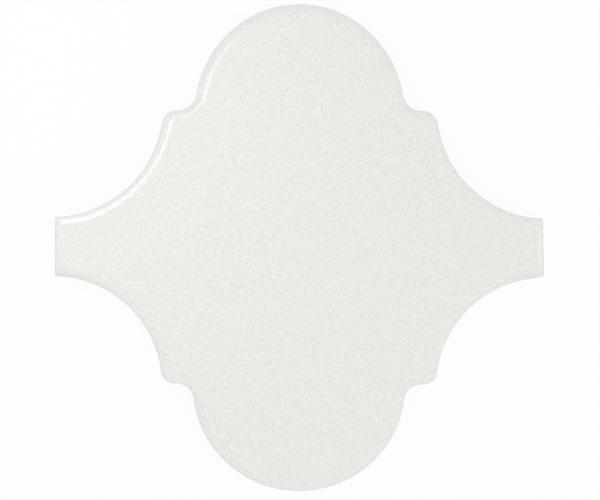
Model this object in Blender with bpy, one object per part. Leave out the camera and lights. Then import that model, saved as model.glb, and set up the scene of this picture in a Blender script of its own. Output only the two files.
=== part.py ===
"""Ceramic wall tile of the arabesque kind: a round lobe above and below, an arm cut straight at
the left and right, and four round bays in which the lobes of the next row's tiles nest.

The tile lies on its back, centred on the origin: X along the arms, Y up the lobes, Z out of the
glazed face. Sizes are in metres.
"""

import math

import bmesh
import bpy
from mathutils import Matrix, Vector

# Outline
TILE_WIDTH = 0.1200  # over the two arm ends
TILE_HEIGHT = 0.1197  # over the two lobes
ARM_END_WIDTH = 0.0147  # across an arm where it is cut
SHOULDER_STEP = 0.0078  # sideways from the side of a lobe to the side of the bay beside it
SHOULDER_RADIUS = 0.0036  # of the round nose between the neck and the bay
NEST_GAP = 0.0008  # between two tiles laid as close as they go

# Section
TILE_THICKNESS = 0.0083
ROLL_WIDTH = 0.0028  # of the pillowed edge, in from the rim
ROLL_DROP = 0.0010  # of the pillowed edge, from the flat of the face down to the rim
END_EDGE_RADIUS = 0.0004  # of the face's edge where an arm is cut
BACK_CHAMFER = 0.0008
GLAZE_RUN = 0.0016  # how far the glaze runs down the side below the pillowed edge

# Back: a waffle of shallow pockets that keys the tile to its adhesive
POCKET_PITCH = 0.0098
POCKET_WIDTH = 0.0074  # at its mouth
POCKET_DEPTH = 0.0007
POCKET_DRAFT = math.radians(35)  # how far a pocket's walls lean outwards
BACK_MARGIN = 0.0030  # the plain border round the pockets, at its narrowest

# Facets of each arc of a quarter outline, and of the pillowed edge
BAY_FACETS = 14
SHOULDER_FACETS = 7
NECK_FACETS = 7
HALF_LOBE_FACETS = 15
ROLL_FACETS = 5

MOST_ROLL = 0.85  # of the shoulder's radius, past which the pillowed edge would fold over it
CUTTER_OVERRUN = 0.002  # how far a pocket's cutter starts outside the tile

GLAZE_COLOUR = (0.83, 0.82, 0.79, 1.0)
GLAZE_ROUGHNESS = 0.22
BISCUIT_COLOUR = (0.78, 0.72, 0.62, 1.0)
BISCUIT_ROUGHNESS = 0.85
GLAZE_SLOT, BISCUIT_SLOT = 0, 1


def clear_scene():
    for obj in list(bpy.data.objects):
        bpy.data.objects.remove(obj, do_unlink=True)


def new_collection(name):
    collection = bpy.data.collections.new(name)
    bpy.context.scene.collection.children.link(collection)
    return collection


def ceramic(name, colour, roughness):
    material = bpy.data.materials.new(name)
    material.use_nodes = True
    shader = material.node_tree.nodes["Principled BSDF"]
    shader.inputs["Base Color"].default_value = colour
    shader.inputs["Roughness"].default_value = roughness
    shader.inputs["Metallic"].default_value = 0.0
    return material


def mesh_object(name, bm, collection, materials):
    mesh = bpy.data.meshes.new(name)
    bm.to_mesh(mesh)
    bm.free()
    for material in materials:
        mesh.materials.append(material)
    obj = bpy.data.objects.new(name, mesh)
    collection.objects.link(obj)
    return obj


def direction(angle):
    return Vector((math.cos(angle), math.sin(angle)))


def quarter_arcs():
    """The four arcs of the upper right quarter, from the arm's end to the top of the lobe.

    Each is (centre, radius, +1 if the tile is outside its circle or -1 if inside, first angle,
    last angle, facets). Laid in rows, each tile's lobe nests in the bay between two tiles of the
    next row, so the bay is the lobe's circle grown by the gap, and the neck is the shoulder's.
    Neighbouring circles touch, which makes the outline smooth from end to end.
    """
    half_pitch = (TILE_WIDTH + NEST_GAP) / 2
    row_pitch = (TILE_HEIGHT + ARM_END_WIDTH) / 2 + NEST_GAP
    lobe_radius = (half_pitch - NEST_GAP - SHOULDER_STEP) / 2
    bay_radius = lobe_radius + NEST_GAP
    neck_radius = SHOULDER_RADIUS + NEST_GAP
    lobe = Vector((0.0, TILE_HEIGHT / 2 - lobe_radius))
    bay = Vector((half_pitch, row_pitch - lobe.y))

    # The neck's centre lies this far from the lobe's, and the shoulder's as far from the bay's
    reach = lobe_radius + neck_radius
    between = neck_radius + SHOULDER_RADIUS
    span = bay - lobe
    cosine = (span.length_squared + 4 * reach**2 - between**2) / (4 * reach * span.length)
    lean = math.atan2(span.y, span.x) + math.acos(cosine)
    neck = lobe + reach * direction(lean)
    shoulder = bay - reach * direction(lean)
    rise = math.atan2(neck.y - shoulder.y, neck.x - shoulder.x)

    # The bay's first angle is where the arm is cut, which depends on the section
    return (
        (bay, bay_radius, 1, None, lean - math.pi, BAY_FACETS),
        (shoulder, SHOULDER_RADIUS, -1, lean, rise, SHOULDER_FACETS),
        (neck, neck_radius, 1, rise - math.pi, lean - math.pi, NECK_FACETS),
        (lobe, lobe_radius, -1, lean, math.pi / 2, HALF_LOBE_FACETS),
    )


def outline(inset=0.0, end_inset=0.0):
    """The outline moved inwards, by end_inset at the arm ends and by inset elsewhere."""
    quarter = []
    for centre, radius, side, first, last, facets in quarter_arcs():
        radius += side * inset
        if first is None:
            first = -math.acos((TILE_WIDTH / 2 - end_inset - centre.x) / radius)
        for step in range(1 if quarter else 0, facets + 1):
            angle = first + (last - first) * step / facets
            quarter.append(centre + radius * direction(angle))
    back_again = quarter[-2::-1]
    points = [(p.x, p.y) for p in quarter]
    points += [(-p.x, p.y) for p in back_again]
    points += [(-p.x, -p.y) for p in quarter]
    points += [(p.x, -p.y) for p in back_again]
    return points


def end_rounding(depth):
    """How far an arm's end lies inside its cut, this deep below the face."""
    short = max(END_EDGE_RADIUS - depth, 0.0)
    return END_EDGE_RADIUS - math.sqrt(END_EDGE_RADIUS**2 - short**2)


def sections():
    """(height, inset, inset at the arm ends) of each section, from the back to the face."""
    roll_width = min(ROLL_WIDTH, MOST_ROLL * SHOULDER_RADIUS)
    rim = TILE_THICKNESS - ROLL_DROP
    yield 0.0, BACK_CHAMFER, BACK_CHAMFER
    yield BACK_CHAMFER, 0.0, 0.0
    yield rim - GLAZE_RUN, 0.0, 0.0
    for step in range(ROLL_FACETS + 1):
        angle = math.pi / 2 * step / ROLL_FACETS
        depth = ROLL_DROP * (1 - math.sin(angle))
        yield TILE_THICKNESS - depth, roll_width * (1 - math.cos(angle)), end_rounding(depth)


def add_ring(bm, points, z):
    verts = [bm.verts.new((x, y, z)) for x, y in points]
    edges = [bm.edges.new(pair) for pair in zip(verts, verts[1:] + verts[:1])]
    return verts, edges


def tile_body(collection, materials):
    """The tile as a loft through its sections, closed by the flat back and the flat face."""
    bm = bmesh.new()
    rings = [add_ring(bm, outline(inset, end_inset), z) for z, inset, end_inset in sections()]
    for (_, lower), (_, upper) in zip(rings, rings[1:]):
        bmesh.ops.bridge_loops(bm, edges=lower + upper)
    for verts, _ in (rings[0], rings[-1]):
        bm.faces.new(verts)
    bmesh.ops.recalc_face_normals(bm, faces=bm.faces)

    glaze_line = TILE_THICKNESS - ROLL_DROP - GLAZE_RUN
    for face in bm.faces:
        glazed = face.calc_center_median().z > glaze_line
        face.material_index = GLAZE_SLOT if glazed else BISCUIT_SLOT
    return mesh_object("wall_tile", bm, collection, materials)


def inside(point, points):
    """Whether a point is inside a closed outline: a line to its right crosses it an odd number of times."""
    odd = False
    for (ax, ay), (bx, by) in zip(points, points[1:] + points[:1]):
        if (ay > point.y) != (by > point.y):
            crossing = ax + (bx - ax) * (point.y - ay) / (by - ay)
            odd ^= crossing > point.x
    return odd


def pocket_fits(centre, rim):
    """Whether a whole pocket keeps the plain border's width from the edge of the back."""
    half = POCKET_WIDTH / 2
    for corner in (Vector((sx * half, sy * half)) for sx in (-1, 1) for sy in (-1, 1)):
        place = centre + corner
        nearest = min((place - Vector(point)).length for point in rim)
        if nearest < BACK_MARGIN or not inside(place, rim):
            return False
    return True


def pocket_places():
    """Centres of the pockets, with two ribs crossing at the middle of the tile."""
    rim = outline(BACK_CHAMFER, BACK_CHAMFER)
    columns = math.ceil(TILE_WIDTH / 2 / POCKET_PITCH)
    rows = math.ceil(TILE_HEIGHT / 2 / POCKET_PITCH)
    for column in range(-columns, columns):
        for row in range(-rows, rows):
            centre = Vector((column + 0.5, row + 0.5)) * POCKET_PITCH
            if pocket_fits(centre, rim):
                yield centre


def pocket_cutters(collection, materials):
    """One square frustum for each pocket, narrowing into the tile."""
    bm = bmesh.new()
    half_diagonal = math.sqrt(0.5)
    lean = math.tan(POCKET_DRAFT)
    floor_width = POCKET_WIDTH - 2 * POCKET_DEPTH * lean
    outer_width = POCKET_WIDTH + 2 * CUTTER_OVERRUN * lean
    height = POCKET_DEPTH + CUTTER_OVERRUN
    square_on = Matrix.Rotation(math.pi / 4, 4, "Z")
    for centre in pocket_places():
        middle = Matrix.Translation((centre.x, centre.y, POCKET_DEPTH - height / 2))
        bmesh.ops.create_cone(
            bm,
            cap_ends=True,
            segments=4,
            radius1=outer_width * half_diagonal,
            radius2=floor_width * half_diagonal,
            depth=height,
            matrix=middle @ square_on,
        )
    for face in bm.faces:
        face.material_index = BISCUIT_SLOT
    cutters = mesh_object("back_pockets", bm, collection, materials)
    cutters.hide_render = True
    cutters.display_type = "WIRE"
    return cutters


def cut(target, cutters):
    modifier = target.modifiers.new("pockets", "BOOLEAN")
    modifier.operation = "DIFFERENCE"
    modifier.solver = "EXACT"
    modifier.object = cutters


def main():
    clear_scene()
    parts = new_collection("ceramic_wall_tile")
    cutters = new_collection("cutters")
    materials = [
        ceramic("white_glaze", GLAZE_COLOUR, GLAZE_ROUGHNESS),
        ceramic("biscuit", BISCUIT_COLOUR, BISCUIT_ROUGHNESS),
    ]
    tile = tile_body(parts, materials)
    tile.data.shade_smooth()
    tile.data.set_sharp_from_angle(angle=math.radians(35))
    cut(tile, pocket_cutters(cutters, materials))


main()
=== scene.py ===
"""Looks of a white glazed arabesque wall tile that lies face up on a pale floor.

One piece, glazed_tile, stands for the CAD node wall_tile. It has the CAD outline and section in
finer steps, and what a fired tile shows besides: a pillowed edge that varies along the outline,
rounded edges at the cut ends, glaze that ends in an uneven lip on the sides, a bare pressed body
below the lip, pockets with worn mouths, and slight irregularities of firing. The glaze is darker
along the rim, on the lower edges of the arms and at the edges of the cut ends: partly where it
runs thinner, and partly painted shade on edges that turn away from the light.

Sizes are in metres, in the CAD frame: X along the arms, Y up the lobes, Z out of the glazed face.
"""

import math

import bpy
import numpy as np
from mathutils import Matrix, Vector, noise
from mathutils.geometry import delaunay_2d_cdt


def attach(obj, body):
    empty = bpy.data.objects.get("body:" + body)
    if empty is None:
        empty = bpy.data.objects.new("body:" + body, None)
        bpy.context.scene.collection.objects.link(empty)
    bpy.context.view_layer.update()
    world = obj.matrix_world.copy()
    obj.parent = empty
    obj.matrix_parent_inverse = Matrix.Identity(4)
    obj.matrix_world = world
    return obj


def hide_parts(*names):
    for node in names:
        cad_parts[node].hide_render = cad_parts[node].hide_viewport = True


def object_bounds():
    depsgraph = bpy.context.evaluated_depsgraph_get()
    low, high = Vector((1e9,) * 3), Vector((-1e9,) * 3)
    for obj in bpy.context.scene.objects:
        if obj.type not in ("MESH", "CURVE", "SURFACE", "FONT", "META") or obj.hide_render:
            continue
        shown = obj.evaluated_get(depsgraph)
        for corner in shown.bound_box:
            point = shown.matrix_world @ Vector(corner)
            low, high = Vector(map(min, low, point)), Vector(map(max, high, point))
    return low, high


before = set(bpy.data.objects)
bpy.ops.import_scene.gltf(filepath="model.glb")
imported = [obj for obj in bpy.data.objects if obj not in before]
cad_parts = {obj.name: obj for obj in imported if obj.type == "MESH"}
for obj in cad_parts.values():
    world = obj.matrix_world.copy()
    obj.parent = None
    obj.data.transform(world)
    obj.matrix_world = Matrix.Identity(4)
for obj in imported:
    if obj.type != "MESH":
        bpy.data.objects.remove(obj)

CAD_BOX = [list(corner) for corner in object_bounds()]

# Outline, as in the CAD
TILE_WIDTH = 0.1200
TILE_HEIGHT = 0.1197
ARM_END_WIDTH = 0.0147
SHOULDER_STEP = 0.0078
SHOULDER_RADIUS = 0.0036
NEST_GAP = 0.0008

# Section, as in the CAD
TILE_THICKNESS = 0.0083
ROLL_DROP = 0.0010
BACK_CHAMFER = 0.0008
GLAZE_RUN = 0.0016
RIM_HEIGHT = TILE_THICKNESS - ROLL_DROP
GLAZE_LINE = RIM_HEIGHT - GLAZE_RUN

# Pockets of the back, as in the CAD
POCKET_PITCH = 0.0098
POCKET_WIDTH = 0.0074
POCKET_DEPTH = 0.0007
POCKET_DRAFT = math.radians(35)
BACK_MARGIN = 0.0030

# The pillowed edge is a slope that flattens inwards, with a brink where it meets the side.
# Its slope and brink change from this far off the arms' middle line to this far.
ROLL_CHANGES = (0.012, 0.044)
SLOPE_WIDTHS = (0.0025, 0.0034)  # at the arm and at the lobe
BRINK_SHARES = (0.5, 0.06)  # of the drop
LOWER_ROLL_CHANGES = (0.010, 0.032)  # in the lower half, where it is the other way round
LOWER_SLOPE_WIDTHS = (0.0034, 0.0024)
LOWER_BRINK_SHARES = (0.1, 0.5)
BRINK_WIDTH = 0.0005
NECK_NARROWS = 0.25  # the share that the slope loses in a neck
NECK_SKEW = 1.2  # above 1, so that it loses most on the lobe's side
ROLL_MESHED = 0.0029  # how far in the edge is meshed in rows; the rest is in the face's mesh

# The cut ends of the arms
END_CORNER = 0.00035  # rounding of their upright corners, in plan
END_ROLL_WIDTH = 0.0015  # rounding of the face's edge
END_ROLL_DROP = 0.00035
END_MESHED = 0.0022  # how far in the rows of the mesh go

# The glaze and the pressed body. A seed only picks which waves of a kind there are.
GLAZE_THICKNESS = 0.00015  # the bare body lies this far inside the glaze
LIP_HEIGHT = 0.00022  # over which the glaze swells out to its full thickness
LIP_WANDER = 0.00028  # how far the glaze's lower edge strays up and down
LIP_WAVES = ((0.7, 0.009, 1.7), (0.3, 0.0025, 8.4))  # share, length and seed of its waves
CHAMFER_SWELL = 0.00006  # the chamfer's bulge, where its edges have worn round
FACE_WAVES = 0.000010  # height of the slow waves in the glazed face
FACE_WAVE_LENGTH = 0.012
FACE_WAVE_SEED = 3.1
SIDE_WAVES = 0.000035  # the pressed sides stray inwards by up to this
SIDE_WAVE_LENGTH = 0.011
SIDE_WAVE_SEED = 6.6
POCKET_WEAR = 0.00016  # how far the pockets' edges have worn back
POCKET_ROUNDING = 0.00075  # rounding of their corners, in plan
WORN_WALL = ((0.0, 0.06), (0.3, 0.34), (0.8, 0.82))  # how far in and up, as shares of the wall

# How the firing has left this tile
UPPER_LOBE_SHRINK = 0.0124  # of its width
UPPER_LOBE_TAPER = 0.0120  # what its width shrinks further towards its top
UPPER_LOBE_TAPERS = (0.040, 0.056)  # between these heights
UPPER_LOBE_SHIFT = (-0.00010, -0.00008)  # to the left and down
LOWER_LOBE_SWELL = 0.0090  # of its width
LOBE_BEGINS = (0.028, 0.042)  # the change of width sets in between these heights
BAY_RISE = 0.00010  # the bays and arms sit this much above the middle
END_SLANT = 0.020  # the right end's lean from square, as a slope
END_SLANT_BEGINS = (0.044, 0.060)
ARM_SINK = 0.00011  # the upper edges of both arms sit lower by this much
ARM_SINKS = (0.046, 0.056)  # between these distances from the middle
CORNER_LIFT = 0.00028  # the lower corner of the right end is drawn up by this much
CORNER_LIFTS = (0.0572, 0.0602)

# Steps of the mesh
ARC_STEPS = (64, 16, 16, 62)  # bay, shoulder, neck and half lobe of a quarter
CORNER_STEPS = 5
END_STEPS = 24
CHAMFER_STEPS = 4
BODY_STEPS = 7
LIP_STEPS = 4
SIDE_STEPS = 4
ROLL_STEPS = 16
FACE_SPACING = 0.0010
FACE_CLEARANCE = 0.55 * FACE_SPACING  # from the face's points to the last row
POCKET_STEPS = 8  # along one side of a pocket
POCKET_CORNER_STEPS = 4
FLAT_MARGIN = 0.00025  # a row this far from each edge of the flat back keeps it flat
ARC_OVERLAP = 1e-4  # so that no point falls between two arcs, in radians
KEEP_INSIDE = 1  # the triangulation's option to leave out what lies outside the rim
SAME_POINT = 1e-9  # points that are nearer than this count as one

# Colours of the glaze, in linear light
GRAIN_TONES = ((0.718, 0.711, 0.685, 1), (0.942, 0.929, 0.895, 1))  # its darks and its lights
CLOUD_TONE = (0.83, 0.822, 0.796, 1)
# Darker for thin glaze over the rim, and painted shade on the rim's rounding
RIM_THIN_AND_SHADE_TONE = (0.762, 0.758, 0.728, 1)
# Darker for thin glaze on the arms' lower edges, and painted shade on those slopes
RUN_OFF_AND_SHADE_TONE = (0.762, 0.762, 0.722, 1)
# Darker for thin glaze at the cut ends' edges, and a painted line of shade there
ARRIS_THIN_GLAZE_AND_SHADE_TONE = (0.74, 0.735, 0.72, 1)

# Grain and relief of the glaze
GRAIN_SIZE = 0.00046
GRAIN_TURN = (0.5, 0.4, 0.6)  # in radians, so that no grain lines up with the tile
GRAIN_SPAN = (0.2, 0.8)  # the span of the noise that is used, here and below
GRAIN_RELIEF = 0.0000025
CLOUD_SIZE = 0.014
CLOUD_SPAN = (0.3, 0.7)
CLOUD_SHARES = (0.0, 0.25)
RIPPLE_SIZE = 0.0022
RIPPLE_RELIEF = 0.000006
GLAZE_ROUGHNESS = (0.15, 0.20)
GLAZE_IOR = 1.55

# Where the glaze is thin, with shade painted on edges that turn from the light: each span, and how
# much of the other tone shows at its two limits
RIM_THIN_AND_SHADE = (RIM_HEIGHT - 0.0002, RIM_HEIGHT + 0.0007)  # in height
RIM_THIN_AND_SHADE_SHARES = (0.5, 0.0)
LEFT_RUN_OFF_AND_SHADE = (-0.058, -0.043)  # along the arms
LEFT_RUN_OFF_AND_SHADE_SHARES = (0.9, 0.0)
RIGHT_RUN_OFF_AND_SHADE = (0.050, 0.059)
RIGHT_RUN_OFF_AND_SHADE_SHARES = (0.0, 0.5)
RUN_OFF_AND_SHADE_BELOW = (-0.0064, -0.0048)  # up the tile
RUN_OFF_AND_SHADE_SLOPE = (RIM_HEIGHT + 0.0003, RIM_HEIGHT + 0.00095)  # in height
ARRIS_THIN_GLAZE_AND_SHADE = (TILE_WIDTH / 2 - 0.0006, TILE_WIDTH / 2)  # off the middle, along the arms
ARRIS_THIN_GLAZE_AND_SHADE_SHARES = (0.0, 0.8)

# The pressed body
BODY_TONES = ((0.74, 0.675, 0.57, 1), (0.80, 0.745, 0.65, 1))
SPECK_TONE = (0.52, 0.43, 0.33, 1)
SAND_SIZE = 0.00028
SAND_RELIEF = 0.00003
PATCH_SIZE = 0.006
PATCH_SPAN = (0.3, 0.7)
SPECK_SIZE = 0.0007
SPECK_SPAN = (0.66, 0.74)
SPECK_SHARES = (0.0, 0.45)
PRESS_SIZE = 0.0016
PRESS_RELIEF = 0.00004
BODY_ROUGHNESS = (0.80, 0.92)
BODY_GLOSS = 0.3
COARSE_ROUGHNESS = 0.6  # how much the sand's and the patches' finer noise counts

# Studio
FLOOR_REACH = 3.0
FLOOR_COLOUR = (0.92, 0.92, 0.92, 1)
FLOOR_WHITE_SHARE = 0.90  # the rest of what the camera sees of the floor keeps the shadow
WHITE = (1, 1, 1, 1)
WHITE_STRENGTH = 1.0
FILL_STRENGTH = 0.688
LAMPS = (
    # name, place, aim, width, height, radiance, whether the gloss shows it
    ("key", (-0.0700, 0.0495, 0.1211), (-0.0980, -0.0015, 0.0031), 0.031, 0.0424, 3.9, True),
    ("key_tail", (-0.0547, 0.0775, 0.1054), (-0.0827, 0.0265, -0.0126), 0.031, 0.029, 1.9, True),
    ("overhead", (0.02, -0.28, 0.70), (0, 0, 0), 0.9, 0.9, 0.58, False),
    ("side", (0.17, 0, 0.31), (0, 0, 0), 0.09, 0.08, 1.7, True),
    ("right", (0.55, 0, 0.30), (0, 0, 0), 0.6, 0.5, 0.30, False),
    ("far", (0, 0.55, 0.30), (0, 0, 0), 0.6, 0.5, 0.11, False),
)

# The photograph's frame: the tile's middle is this many pixels from the middle of the image
FRAME_PIXELS = 600
PIXELS_PER_METRE = 4070  # at the height of the rim
TILE_RIGHT_PIXELS = -0.5
TILE_UP_PIXELS = 2.5
TILE_TURN = 0.0032  # clockwise in the image
LENS = 120.0
SENSOR = 36.0
NEAREST_SEEN = 0.01

GLAZE, BODY = 0, 1  # material slots


def direction(angle):
    return Vector((math.cos(angle), math.sin(angle)))


def quarter_arcs():
    """The four arcs of the upper right quarter: (centre, radius, side, first angle, last angle).

    The side is +1 if the tile is outside the circle and -1 if inside. The bay's first angle is
    None, because it is where the arm is cut.
    """
    half_pitch = (TILE_WIDTH + NEST_GAP) / 2
    row_pitch = (TILE_HEIGHT + ARM_END_WIDTH) / 2 + NEST_GAP
    lobe_radius = (half_pitch - NEST_GAP - SHOULDER_STEP) / 2
    neck_radius = SHOULDER_RADIUS + NEST_GAP
    lobe = Vector((0.0, TILE_HEIGHT / 2 - lobe_radius))
    bay = Vector((half_pitch, row_pitch - lobe.y))

    reach = lobe_radius + neck_radius
    apart = neck_radius + SHOULDER_RADIUS
    span = bay - lobe
    cosine = (span.length_squared + 4 * reach**2 - apart**2) / (4 * reach * span.length)
    lean = math.atan2(span.y, span.x) + math.acos(cosine)
    neck = lobe + reach * direction(lean)
    shoulder = bay - reach * direction(lean)
    rise = math.atan2(neck.y - shoulder.y, neck.x - shoulder.x)

    return (
        (bay, lobe_radius + NEST_GAP, 1, None, lean - math.pi),
        (shoulder, SHOULDER_RADIUS, -1, lean, rise),
        (neck, neck_radius, 1, rise - math.pi, lean - math.pi),
        (lobe, lobe_radius, -1, lean, math.pi / 2),
    )


ARCS = quarter_arcs()
NECK_ARC = ARCS[2]


def rounded_corner(before, corner, after):
    """Points from before to just short of after, on a curve that is drawn to the corner."""
    for step in range(CORNER_STEPS):
        t = step / CORNER_STEPS
        yield (1 - t) ** 2 * before + 2 * t * (1 - t) * corner + t**2 * after


def quarter_outline(inset, end_inset):
    """The upper right quarter moved inwards, from the arm's cut end to the top of the lobe."""
    points = []
    for (centre, radius, side, first, last), steps in zip(ARCS, ARC_STEPS):
        radius += side * inset
        if first is None:
            first = -math.acos((TILE_WIDTH / 2 - end_inset - centre.x) / radius)
            corner = centre + radius * direction(first)
            first -= END_CORNER / radius
            start = centre + radius * direction(first)
            points += rounded_corner(corner - Vector((0, END_CORNER)), corner, start)
            points.append(start)
        for step in range(1, steps + 1):
            angle = first + (last - first) * step / steps
            points.append(centre + radius * direction(angle))
    return points


def outline(inset, end_inset):
    """The closed outline moved inwards, anticlockwise from the upper corner of the right arm."""
    quarter = quarter_outline(inset, end_inset)
    half = quarter + [Vector((-p.x, p.y)) for p in quarter[-2::-1]]
    corner = half[-1]
    for step in range(1, END_STEPS):
        half.append(Vector((corner.x, corner.y * (1 - 2 * step / END_STEPS))))
    return half + [-p for p in half]


def wave(x, y, length, seed):
    """Smooth noise between about -1 and 1 with waves of this length."""
    return noise.noise(Vector((x / length, y / length, seed)))


def smooth_step(value, begin, finish):
    """0 up to begin, 1 from finish on, with a smooth change between them."""
    t = min(max((value - begin) / (finish - begin), 0.0), 1.0)
    return t * t * (3 - 2 * t)


def between(pair, t):
    """The first of the pair at t = 0, the second at 1, and an even change between them."""
    return pair[0] + (pair[1] - pair[0]) * t


def quarter_round(share):
    """Depth of a quarter round as a share of its drop, at a share of its width in from the rim."""
    short = min(max(1 - share, 0.0), 1.0)
    return 1 - math.sqrt(1 - short**2)


def inset_at(x, y):
    """How far a point of the face is in from the nearest arc of the outline."""
    place = Vector((abs(x), abs(y)))
    nearest = TILE_WIDTH
    for centre, radius, side, first, last in ARCS:
        spoke = place - centre
        angle = math.atan2(spoke.y, spoke.x)
        begin = -math.pi / 2 if first is None else first
        if min(begin, last) - ARC_OVERLAP <= angle <= max(begin, last) + ARC_OVERLAP:
            nearest = min(nearest, side * (spoke.length - radius))
    return nearest


def at_neck(x, y):
    """Up to 1 within a neck, and 0 where its arc meets the shoulder's and the lobe's."""
    centre, _, _, first, last = NECK_ARC
    spoke = Vector((abs(x), abs(y))) - centre
    t = (math.atan2(spoke.y, spoke.x) - first) / (last - first)
    return math.sin(math.pi * t**NECK_SKEW) if 0 < t < 1 else 0.0


def face_depth(x, y):
    """How far the pillowed edge and the rounding of the cut ends lie below the flat of the face."""
    inset = inset_at(x, y)
    if y > 0:
        changes, widths, shares = ROLL_CHANGES, SLOPE_WIDTHS, BRINK_SHARES
    else:
        changes, widths, shares = LOWER_ROLL_CHANGES, LOWER_SLOPE_WIDTHS, LOWER_BRINK_SHARES
    at_lobe = smooth_step(abs(y), *changes)
    slope_width = between(widths, at_lobe)
    slope_width *= 1 - NECK_NARROWS * at_neck(x, y)
    slope = max(1 - inset / slope_width, 0.0) ** 2
    brink = quarter_round(inset / BRINK_WIDTH)
    side = between((slope, brink), between(shares, at_lobe))
    end = quarter_round((TILE_WIDTH / 2 - abs(x)) / END_ROLL_WIDTH)
    return ROLL_DROP * side + END_ROLL_DROP * end * (1 - side)


def face_height(x, y):
    """The glazed surface, with slow waves that fade out towards the rim."""
    depth = face_depth(x, y)
    sink = FACE_WAVES * (1 + wave(x, y, FACE_WAVE_LENGTH, FACE_WAVE_SEED))
    return TILE_THICKNESS - depth - sink * (1 - depth / ROLL_DROP)


def side_rows():
    """(height, how far it follows the glaze's lower edge, inset, end inset) of each row, upwards.

    The rows of the glazed face have no height here, because it varies along them.
    """
    back_edge = GLAZE_THICKNESS + BACK_CHAMFER
    yield 0.0, 0.0, back_edge + FLAT_MARGIN, back_edge + FLAT_MARGIN
    for step in range(CHAMFER_STEPS):
        t = step / CHAMFER_STEPS
        swell = CHAMFER_SWELL * math.sin(math.pi * t)
        inset = back_edge - BACK_CHAMFER * t - swell
        yield BACK_CHAMFER * t - swell, 0.0, inset, inset
    for step in range(BODY_STEPS):
        t = step / BODY_STEPS
        height = BACK_CHAMFER + (GLAZE_LINE - BACK_CHAMFER) * t
        yield height, t, GLAZE_THICKNESS, GLAZE_THICKNESS
    for step in range(LIP_STEPS + 1):
        t = step / LIP_STEPS
        inset = GLAZE_THICKNESS * (1 - t) ** 2
        yield GLAZE_LINE + LIP_HEIGHT * t, 1.0, inset, inset
    lip_top = GLAZE_LINE + LIP_HEIGHT
    for step in range(1, SIDE_STEPS):
        t = step / SIDE_STEPS
        yield lip_top + (RIM_HEIGHT - lip_top) * t, 1 - t, 0.0, 0.0
    for step in range(ROLL_STEPS + 1):
        t = 1 - math.cos(math.pi / 2 * step / ROLL_STEPS)
        yield None, 0.0, ROLL_MESHED * t, END_MESHED * t


GLAZED_FROM = 1 + CHAMFER_STEPS + BODY_STEPS  # the row at the glaze's lower edge


def row_points(height, follow, inset, end_inset):
    """One closed row of the side as (x, y, z) points."""
    points = []
    for p in outline(inset, end_inset):
        x, y = p
        if height is None:
            z = face_height(x, y)
        else:
            stray = sum(share * wave(x, y, length, seed) for share, length, seed in LIP_WAVES)
            z = height + follow * LIP_WANDER * stray
            sink = (1 + wave(x + z, y - z, SIDE_WAVE_LENGTH, SIDE_WAVE_SEED)) / 2
            shrink = SIDE_WAVES * sink / p.length
            x -= x * shrink
            y -= y * shrink
        points.append((x, y, z))
    return points


def clear_of(rim, margin):
    """A test whether a place is inside the closed rim, with this margin from its points."""
    rim = np.array([(p[0], p[1]) for p in rim])
    following = np.roll(rim, -1, axis=0)

    def clear(x, y):
        straddles = (rim[:, 1] > y) != (following[:, 1] > y)
        a, b = rim[straddles], following[straddles]
        crossings = a[:, 0] + (b[:, 0] - a[:, 0]) * (y - a[:, 1]) / (b[:, 1] - a[:, 1])
        inside = (crossings > x).sum() % 2 == 1
        return inside and np.hypot(rim[:, 0] - x, rim[:, 1] - y).min() >= margin

    return clear


def face_spots(rim):
    """Points of a triangular grid over the face, inside its last row."""
    clear = clear_of(rim, FACE_CLEARANCE)
    row_height = FACE_SPACING * math.sqrt(3) / 2
    rows = int(TILE_HEIGHT / 2 / row_height) + 1
    columns = int(TILE_WIDTH / 2 / FACE_SPACING) + 1
    for row in range(-rows, rows + 1):
        for column in range(-columns, columns + 1):
            x = (column + 0.5 * (row % 2)) * FACE_SPACING
            y = row * row_height
            if clear(x, y):
                yield x, y


def pocket_places(rim):
    """Centres of the pockets whose four corners all keep the margin from the rim."""
    clear = clear_of(rim, BACK_MARGIN)
    half = POCKET_WIDTH / 2
    most = math.ceil(max(TILE_WIDTH, TILE_HEIGHT) / 2 / POCKET_PITCH)
    for column in range(-most, most):
        for row in range(-most, most):
            x = (column + 0.5) * POCKET_PITCH
            y = (row + 0.5) * POCKET_PITCH
            if all(clear(x + sx * half, y + sy * half) for sx in (-1, 1) for sy in (-1, 1)):
                yield x, y


def rounded_square(x, y, half, height):
    """The (x, y, z) points of a level square with rounded corners, from half its width."""
    straight = half - POCKET_ROUNDING
    loop = []
    for corner in range(4):
        facing = math.pi / 4 + corner * math.pi / 2
        middle = straight * math.sqrt(2) * direction(facing)
        for step in range(POCKET_CORNER_STEPS + 1):
            turn = facing + math.pi / 4 * (2 * step / POCKET_CORNER_STEPS - 1)
            p = middle + POCKET_ROUNDING * direction(turn)
            loop.append((x + p.x, y + p.y, height))
        ahead = straight * math.sqrt(2) * direction(facing + math.pi / 2)
        begin = middle + POCKET_ROUNDING * direction(facing + math.pi / 4)
        end = ahead + POCKET_ROUNDING * direction(facing + math.pi / 4)
        for step in range(1, POCKET_STEPS):
            p = begin.lerp(end, step / POCKET_STEPS)
            loop.append((x + p.x, y + p.y, height))
    return loop


def pocket_loops(x, y):
    """The rows of one pocket from its worn mouth to its floor, each a list of (x, y, z)."""
    lean = math.tan(POCKET_DRAFT)
    half = POCKET_WIDTH / 2
    yield rounded_square(x, y, half + POCKET_WEAR + FLAT_MARGIN, 0.0)
    yield rounded_square(x, y, half + POCKET_WEAR, 0.0)
    for inwards, upwards in WORN_WALL:
        yield rounded_square(x, y, half - inwards * POCKET_DEPTH * lean, upwards * POCKET_DEPTH)
    yield rounded_square(x, y, half - POCKET_DEPTH * lean - POCKET_WEAR, POCKET_DEPTH)


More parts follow.
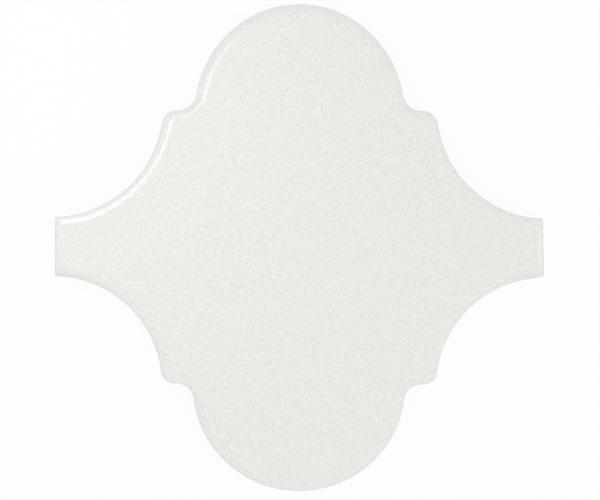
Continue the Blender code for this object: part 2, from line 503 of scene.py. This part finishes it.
class Shell:
    """The points and faces of a mesh while it is put together."""

    def __init__(self):
        self.points = []
        self.faces = []
        self.slots = []

    def add_loop(self, points):
        """Adds the points and returns their indices."""
        first = len(self.points)
        self.points += points
        return list(range(first, len(self.points)))

    def add_face(self, corners, slot):
        self.faces.append(corners)
        self.slots.append(slot)

    def join(self, lower, upper, slot):
        """A band of quads between two loops of as many points."""
        for here in range(len(lower)):
            there = (here + 1) % len(lower)
            self.add_face((lower[here], lower[there], upper[there], upper[here]), slot)

    def fill(self, rim, holes, spots, upwards, slot):
        """Triangles over the flat area inside the rim and outside the holes, through the spots."""
        loops = [rim] + holes
        members = [index for loop in loops for index in loop] + spots
        hole_of = {index: number for number, loop in enumerate(holes) for index in loop}
        place = {index: spot for spot, index in enumerate(members)}
        plan = [Vector(self.points[index][:2]) for index in members]
        edges = [
            (place[a], place[b]) for loop in loops for a, b in zip(loop, loop[1:] + loop[:1])
        ]
        meshed = delaunay_2d_cdt(plan, edges, [], KEEP_INSIDE, SAME_POINT)
        _, _, triangles, origins, _, _ = meshed
        for triangle in triangles:
            corners = [members[origins[corner][0]] for corner in triangle]
            first = hole_of.get(corners[0], -1)
            if first >= 0 and all(hole_of.get(corner) == first for corner in corners):
                continue
            self.add_face(corners if upwards else corners[::-1], slot)

    def mesh(self, name):
        mesh = bpy.data.meshes.new(name)
        mesh.from_pydata(self.points, [], self.faces)
        mesh.polygons.foreach_set("material_index", self.slots)
        mesh.shade_smooth()
        mesh.validate()
        return mesh


def as_fired(point):
    """Where the firing has left a point of the regular shape, kept inside the CAD box."""
    x, y, z = point
    at_lobe = smooth_step(abs(y), *LOBE_BEGINS)
    x -= END_SLANT * (y + ARM_END_WIDTH / 2) * smooth_step(x, *END_SLANT_BEGINS)
    if y > 0:
        at_top = smooth_step(y, *UPPER_LOBE_TAPERS)
        x *= 1 - at_lobe * UPPER_LOBE_SHRINK - UPPER_LOBE_TAPER * at_top
        x += at_lobe * UPPER_LOBE_SHIFT[0]
        y += at_lobe * UPPER_LOBE_SHIFT[1]
    else:
        x *= 1 + at_lobe * LOWER_LOBE_SWELL
    y += BAY_RISE * (1 - at_lobe)
    at_upper_edge = smooth_step(y, 0, ARM_END_WIDTH / 2)
    y -= ARM_SINK * smooth_step(abs(x), *ARM_SINKS) * at_upper_edge
    at_lower_edge = smooth_step(-y, 0, ARM_END_WIDTH / 2)
    y += CORNER_LIFT * smooth_step(x, *CORNER_LIFTS) * at_lower_edge
    low, high = CAD_BOX
    limits = zip((x, y, z), low, high)
    return tuple(min(max(value, least), most) for value, least, most in limits)


def tile_mesh():
    """The whole tile, watertight: the sides in rows, the face, and the back with its pockets."""
    shell = Shell()
    rows = [shell.add_loop(row_points(*row)) for row in side_rows()]
    for number, (lower, upper) in enumerate(zip(rows, rows[1:])):
        shell.join(lower, upper, GLAZE if number >= GLAZED_FROM else BODY)

    face_rim = [shell.points[index] for index in rows[-1]]
    spots = shell.add_loop([(x, y, face_height(x, y)) for x, y in face_spots(face_rim)])
    shell.fill(rows[-1], [], spots, True, GLAZE)

    mouths = []
    for x, y in pocket_places(outline(BACK_CHAMFER, BACK_CHAMFER)):
        loops = [shell.add_loop(loop) for loop in pocket_loops(x, y)]
        mouths.append(loops[0])
        for outer, inner in zip(loops, loops[1:]):
            shell.join(outer[::-1], inner[::-1], BODY)
        shell.add_face(loops[-1][::-1], BODY)
    shell.fill(rows[0], mouths, [], False, BODY)

    shell.points = [as_fired(point) for point in shell.points]
    return shell.mesh("glazed_tile")


class Nodes:
    """A material's nodes, added one by one and linked as they are named."""

    def __init__(self, name):
        self.material = bpy.data.materials.new(name)
        self.material.use_nodes = True
        self.tree = self.material.node_tree
        self.shader = self.tree.nodes["Principled BSDF"]

    def add(self, kind, **inputs):
        """A node whose inputs are set to values or linked from other nodes' outputs."""
        node = self.tree.nodes.new(kind)
        for name, value in inputs.items():
            self.put(node, name.replace("_", " "), value)
        return node

    def put(self, node, key, value):
        """Sets or links an input, which is given by its name or its number."""
        if isinstance(value, bpy.types.NodeSocket):
            self.tree.links.new(value, node.inputs[key])
        else:
            node.inputs[key].default_value = value

    def place(self):
        """Where a surface point is on the object, in metres."""
        return self.add("ShaderNodeTexCoord").outputs["Object"]

    def turned(self, place):
        """The place in axes that lean, so that no grain lines up with the tile."""
        node = self.add("ShaderNodeMapping", Vector=place, Rotation=GRAIN_TURN)
        return node.outputs["Vector"]

    def grain(self, place, size, detail=2.0, roughness=0.5):
        """Noise with features of this size."""
        node = self.add(
            "ShaderNodeTexNoise", Vector=place, Scale=1 / size, Detail=detail, Roughness=roughness
        )
        return node.outputs["Fac"]

    def spread(self, value, span, results=(0.0, 1.0)):
        """The first result up to the span, the second beyond it, and an even change within."""
        node = self.add("ShaderNodeMapRange", Value=value)
        names = ("From Min", "From Max", "To Min", "To Max")
        for name, number in zip(names, (*span, *results)):
            node.inputs[name].default_value = number
        return node.outputs["Result"]

    def blend(self, factor, first, second):
        """A colour between two others."""
        node = self.tree.nodes.new("ShaderNodeMix")
        node.data_type = "RGBA"
        # By number, because the names of the inputs recur for other kinds of value
        for number, value in ((0, factor), (6, first), (7, second)):
            self.put(node, number, value)
        return node.outputs[2]

    def reckon(self, operation, *values):
        """The result of a sum, product or the like of other nodes' outputs."""
        node = self.add("ShaderNodeMath")
        node.operation = operation
        for number, value in enumerate(values):
            self.put(node, number, value)
        return node.outputs[0]

    def relief(self, height, distance, normal=None):
        """A bump whose height of 0 to 1 stands for this distance."""
        node = self.add("ShaderNodeBump", Height=height, Distance=distance)
        if normal is not None:
            self.put(node, "Normal", normal)
        return node.outputs["Normal"]


def glaze_material():
    nodes = Nodes("white_glaze")
    place = nodes.place()
    fine = nodes.grain(nodes.turned(place), GRAIN_SIZE, detail=1.2)
    cloudy = nodes.grain(place, CLOUD_SIZE, detail=3.0)
    speckled = nodes.blend(nodes.spread(fine, GRAIN_SPAN), *GRAIN_TONES)
    colour = nodes.blend(nodes.spread(cloudy, CLOUD_SPAN, CLOUD_SHARES), speckled, CLOUD_TONE)

    # The glaze is thin where it turns over the rim, and the body shows through a little; the darker
    # tone there also stands for painted shade on the rounded rim
    axes = nodes.add("ShaderNodeSeparateXYZ", Vector=place).outputs
    thin_and_shaded_rim = nodes.spread(axes["Z"], RIM_THIN_AND_SHADE, RIM_THIN_AND_SHADE_SHARES)
    colour = nodes.blend(thin_and_shaded_rim, colour, RIM_THIN_AND_SHADE_TONE)

    # It is thinner still on the slope along the lower edges of both arms, towards their ends; the
    # darker tone there is also painted shade on slopes that face away from the light
    left = nodes.spread(axes["X"], LEFT_RUN_OFF_AND_SHADE, LEFT_RUN_OFF_AND_SHADE_SHARES)
    right = nodes.spread(axes["X"], RIGHT_RUN_OFF_AND_SHADE, RIGHT_RUN_OFF_AND_SHADE_SHARES)
    low = nodes.spread(axes["Y"], RUN_OFF_AND_SHADE_BELOW, (1.0, 0.0))
    sloping = nodes.spread(axes["Z"], RUN_OFF_AND_SHADE_SLOPE, (1.0, 0.0))
    run_off_and_shade = nodes.reckon("MULTIPLY", nodes.reckon("ADD", left, right), low)
    run_off_and_shade = nodes.reckon("MULTIPLY", run_off_and_shade, sloping)
    colour = nodes.blend(run_off_and_shade, colour, RUN_OFF_AND_SHADE_TONE)

    # And so it is at the edge of each cut end, where the darker tone is also a painted line of
    # shade
    from_middle = nodes.reckon("ABSOLUTE", axes["X"])
    colour = nodes.blend(nodes.spread(from_middle, ARRIS_THIN_GLAZE_AND_SHADE, ARRIS_THIN_GLAZE_AND_SHADE_SHARES), colour, ARRIS_THIN_GLAZE_AND_SHADE_TONE)

    ripple = nodes.relief(nodes.grain(place, RIPPLE_SIZE, detail=1.0), RIPPLE_RELIEF)
    roughness = nodes.spread(cloudy, CLOUD_SPAN, GLAZE_ROUGHNESS)
    nodes.put(nodes.shader, "Base Color", colour)
    nodes.put(nodes.shader, "Roughness", roughness)
    nodes.put(nodes.shader, "IOR", GLAZE_IOR)
    nodes.put(nodes.shader, "Normal", nodes.relief(fine, GRAIN_RELIEF, ripple))
    return nodes.material


def body_material():
    nodes = Nodes("pressed_body")
    place = nodes.place()
    sandy = nodes.grain(place, SAND_SIZE, detail=3.0, roughness=COARSE_ROUGHNESS)
    patchy = nodes.grain(place, PATCH_SIZE, detail=4.0, roughness=COARSE_ROUGHNESS)
    colour = nodes.blend(nodes.spread(patchy, PATCH_SPAN), *BODY_TONES)
    speck = nodes.spread(nodes.grain(place, SPECK_SIZE), SPECK_SPAN, SPECK_SHARES)
    pressed = nodes.relief(nodes.grain(place, PRESS_SIZE), PRESS_RELIEF)
    nodes.put(nodes.shader, "Base Color", nodes.blend(speck, colour, SPECK_TONE))
    nodes.put(nodes.shader, "Roughness", nodes.spread(patchy, PATCH_SPAN, BODY_ROUGHNESS))
    nodes.put(nodes.shader, "Specular IOR Level", BODY_GLOSS)
    nodes.put(nodes.shader, "Normal", nodes.relief(sandy, SAND_RELIEF, pressed))
    return nodes.material


def add_tile():
    mesh = tile_mesh()
    mesh.materials.append(glaze_material())
    mesh.materials.append(body_material())
    tile = bpy.data.objects.new("glazed_tile", mesh)
    bpy.context.scene.collection.objects.link(tile)
    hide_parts("wall_tile")
    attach(tile, "root")


def white_to_camera(tree, lit, white, output):
    """Links the white shader to the output for the camera and gloss, and else the lit one."""
    path = tree.nodes.new("ShaderNodeLightPath")
    seen = path.outputs["Is Camera Ray"]
    for kind in ("Is Glossy Ray", "Is Transmission Ray"):
        either = tree.nodes.new("ShaderNodeMath")
        either.operation = "MAXIMUM"
        tree.links.new(seen, either.inputs[0])
        tree.links.new(path.outputs[kind], either.inputs[1])
        seen = either.outputs[0]
    mix = tree.nodes.new("ShaderNodeMixShader")
    tree.links.new(seen, mix.inputs["Fac"])
    tree.links.new(lit, mix.inputs[1])
    tree.links.new(white, mix.inputs[2])
    tree.links.new(mix.outputs[0], output)


def add_floor():
    side = FLOOR_REACH
    corners = [(-side, -side, 0), (side, -side, 0), (side, side, 0), (-side, side, 0)]
    mesh = bpy.data.meshes.new("floor")
    mesh.from_pydata(corners, [], [(0, 1, 2, 3)])
    floor = bpy.data.objects.new("floor", mesh)
    bpy.context.scene.collection.objects.link(floor)

    material = bpy.data.materials.new("pale_floor")
    material.use_nodes = True
    tree = material.node_tree
    tree.nodes.remove(tree.nodes["Principled BSDF"])
    matt = tree.nodes.new("ShaderNodeBsdfDiffuse")
    matt.inputs["Color"].default_value = FLOOR_COLOUR
    glow = tree.nodes.new("ShaderNodeEmission")
    glow.inputs["Color"].default_value = WHITE
    glow.inputs["Strength"].default_value = WHITE_STRENGTH
    shaded = tree.nodes.new("ShaderNodeMixShader")
    shaded.inputs["Fac"].default_value = FLOOR_WHITE_SHARE
    tree.links.new(matt.outputs[0], shaded.inputs[1])
    tree.links.new(glow.outputs[0], shaded.inputs[2])
    output = tree.nodes["Material Output"].inputs["Surface"]
    white_to_camera(tree, matt.outputs[0], shaded.outputs[0], output)
    mesh.materials.append(material)


def add_world():
    """A room that lights the tile evenly and looks white to the camera and in gloss."""
    world = bpy.data.worlds.new("studio")
    world.use_nodes = True
    bpy.context.scene.world = world
    tree = world.node_tree
    fill = tree.nodes["Background"]
    fill.inputs["Color"].default_value = WHITE
    fill.inputs["Strength"].default_value = FILL_STRENGTH
    white = tree.nodes.new("ShaderNodeBackground")
    white.inputs["Color"].default_value = WHITE
    white.inputs["Strength"].default_value = WHITE_STRENGTH
    output = tree.nodes["World Output"].inputs["Surface"]
    white_to_camera(tree, fill.outputs[0], white.outputs[0], output)


def add_softbox(name, place, aim, width, height, radiance, in_gloss):
    """A rectangular lamp of this radiance, where 1 is as bright as white, facing the aim.

    The broad ones stay out of the gloss, which shows the white room instead.
    """
    light = bpy.data.lights.new(name, "AREA")
    light.shape = "RECTANGLE"
    light.size = width
    light.size_y = height
    light.energy = radiance * math.pi * width * height
    lamp = bpy.data.objects.new(name, light)
    lamp.location = place
    lamp.rotation_euler = (Vector(aim) - Vector(place)).to_track_quat("-Z", "Y").to_euler()
    lamp.visible_camera = False
    lamp.visible_glossy = in_gloss
    bpy.context.scene.collection.objects.link(lamp)


def add_camera():
    """A camera straight above, with the tile where it is in the photograph."""
    camera = bpy.data.cameras.new("camera")
    camera.lens = LENS
    camera.sensor_width = SENSOR
    camera.clip_start = NEAREST_SEEN
    holder = bpy.data.objects.new("camera", camera)
    above = FRAME_PIXELS / PIXELS_PER_METRE * LENS / SENSOR
    right = direction(TILE_TURN)
    up = Vector((-right.y, right.x))
    spot = -(TILE_RIGHT_PIXELS * right + TILE_UP_PIXELS * up) / PIXELS_PER_METRE
    holder.location = (spot.x, spot.y, RIM_HEIGHT + above)
    holder.rotation_euler = (0.0, 0.0, TILE_TURN)
    bpy.context.scene.collection.objects.link(holder)
    bpy.context.scene.camera = holder


add_tile()
add_floor()
add_world()
for lamp_values in LAMPS:
    add_softbox(*lamp_values)
add_camera()
bpy.context.scene.view_settings.view_transform = "Standard"
